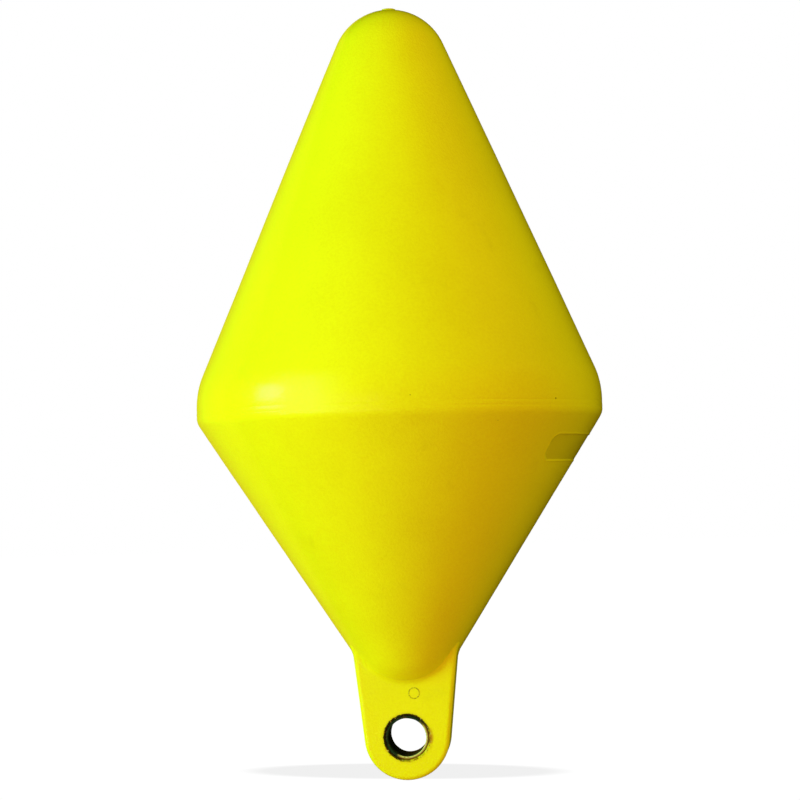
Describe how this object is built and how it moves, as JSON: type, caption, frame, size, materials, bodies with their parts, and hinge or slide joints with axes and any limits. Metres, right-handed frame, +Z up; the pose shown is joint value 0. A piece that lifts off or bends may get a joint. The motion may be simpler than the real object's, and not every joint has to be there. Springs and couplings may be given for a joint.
{
  "type": "marker buoy",
  "caption": "Yellow bi-conical plastic marker buoy with a vent plug in its crown and a flat mooring lug below, its eye lined with a steel tube.",
  "frame": {"origin": "on the float's axis at the waterline, 30 mm under the seam at its widest section", "axes": "+Z up along the float's axis, towards the crown; -Y and +Y out of the flat faces of the mooring lug; +X towards the side with the label recess"},
  "size_m": [0.4, 0.4, 0.76],
  "materials": {
    "yellow_plastic": "moulded polyethylene, satin, coloured through",
    "galvanised_steel": "zinc coated tube, dull, with grime and a little rust"
  },
  "bodies": {
    "root": {"upper_cone": "yellow_plastic", "lower_cone": "yellow_plastic", "crown_plug": "yellow_plastic", "mooring_lug": "yellow_plastic", "eye_tube": "galvanised_steel"}
  },
  "joints": []
}
